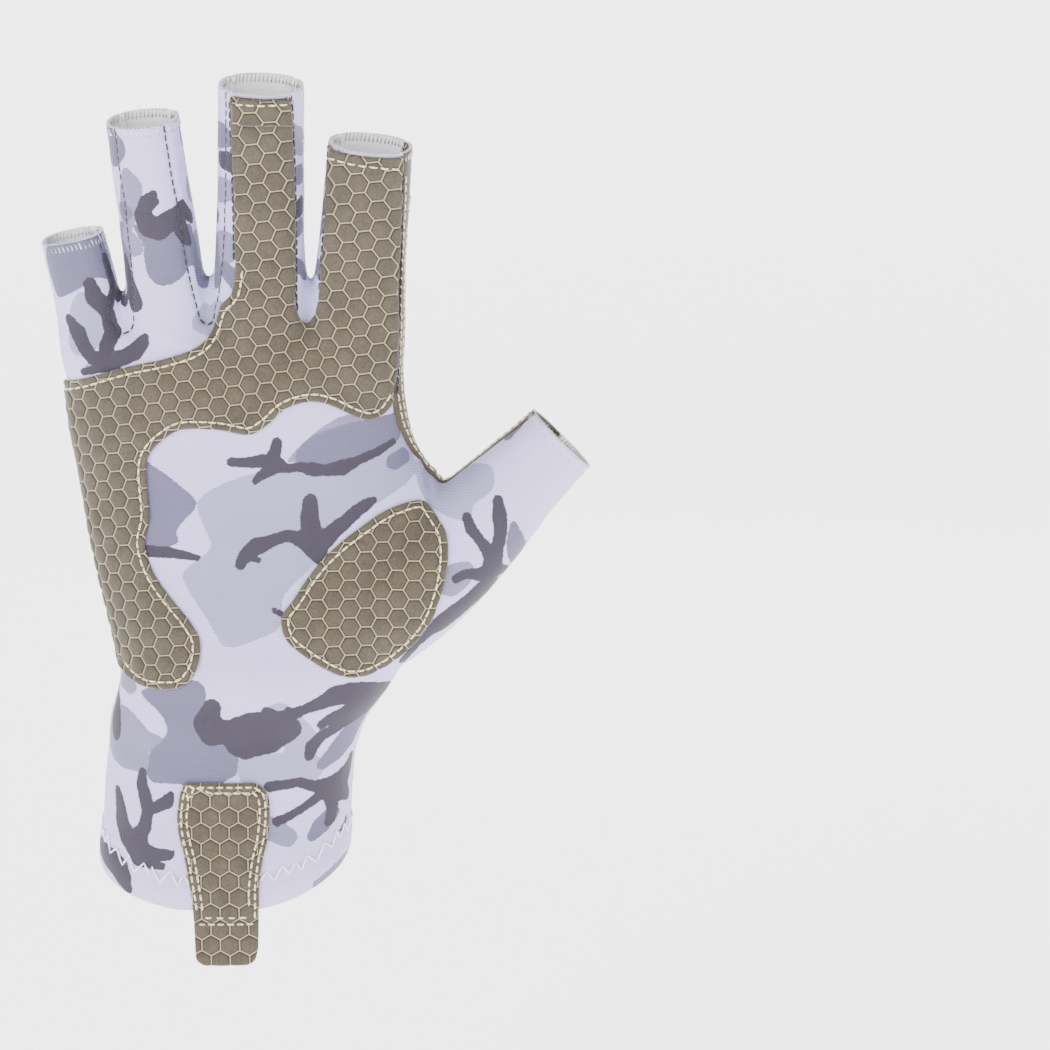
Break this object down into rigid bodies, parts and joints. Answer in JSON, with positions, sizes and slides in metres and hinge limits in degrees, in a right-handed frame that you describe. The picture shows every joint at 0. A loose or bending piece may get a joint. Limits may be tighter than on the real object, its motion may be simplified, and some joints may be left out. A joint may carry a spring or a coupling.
{
  "type": "fingerless stretch fishing glove",
  "caption": "Fingerless stretch glove for the right hand with suede grip patches on the palm, a suede thumb gusset and a pull tab on the cuff.",
  "frame": {"origin": "middle of the cuff opening, level with the sides of the cuff edge, where the wrist goes in", "axes": "+Z from the cuff to the fingers, -Y out of the palm, +X towards the thumb"},
  "size_m": [0.1416, 0.0537, 0.2318],
  "materials": {
    "stretch_cloth": "printed polyester and elastane knit, matt, white with a grey camouflage print",
    "hem_cloth": "the unprinted white inner face of the knit",
    "grip_suede": "khaki microfibre suede, embossed with a honeycomb",
    "plain_suede": "plain khaki microfibre suede",
    "seam_thread": "spun polyester sewing thread, cream, white and dark navy"
  },
  "bodies": {
    "root": {"palm_panel": "stretch_cloth", "back_panel": "stretch_cloth", "fourchette_index_middle": "stretch_cloth", "fourchette_middle_ring": "stretch_cloth", "fourchette_ring_pinky": "stretch_cloth", "thumb_gusset": "plain_suede", "palm_grip_patch": "grip_suede", "thumb_grip_patch": "grip_suede", "middle_finger_flap": "grip_suede", "pull_tab": "grip_suede", "cuff_hem": "hem_cloth"}
  },
  "joints": []
}
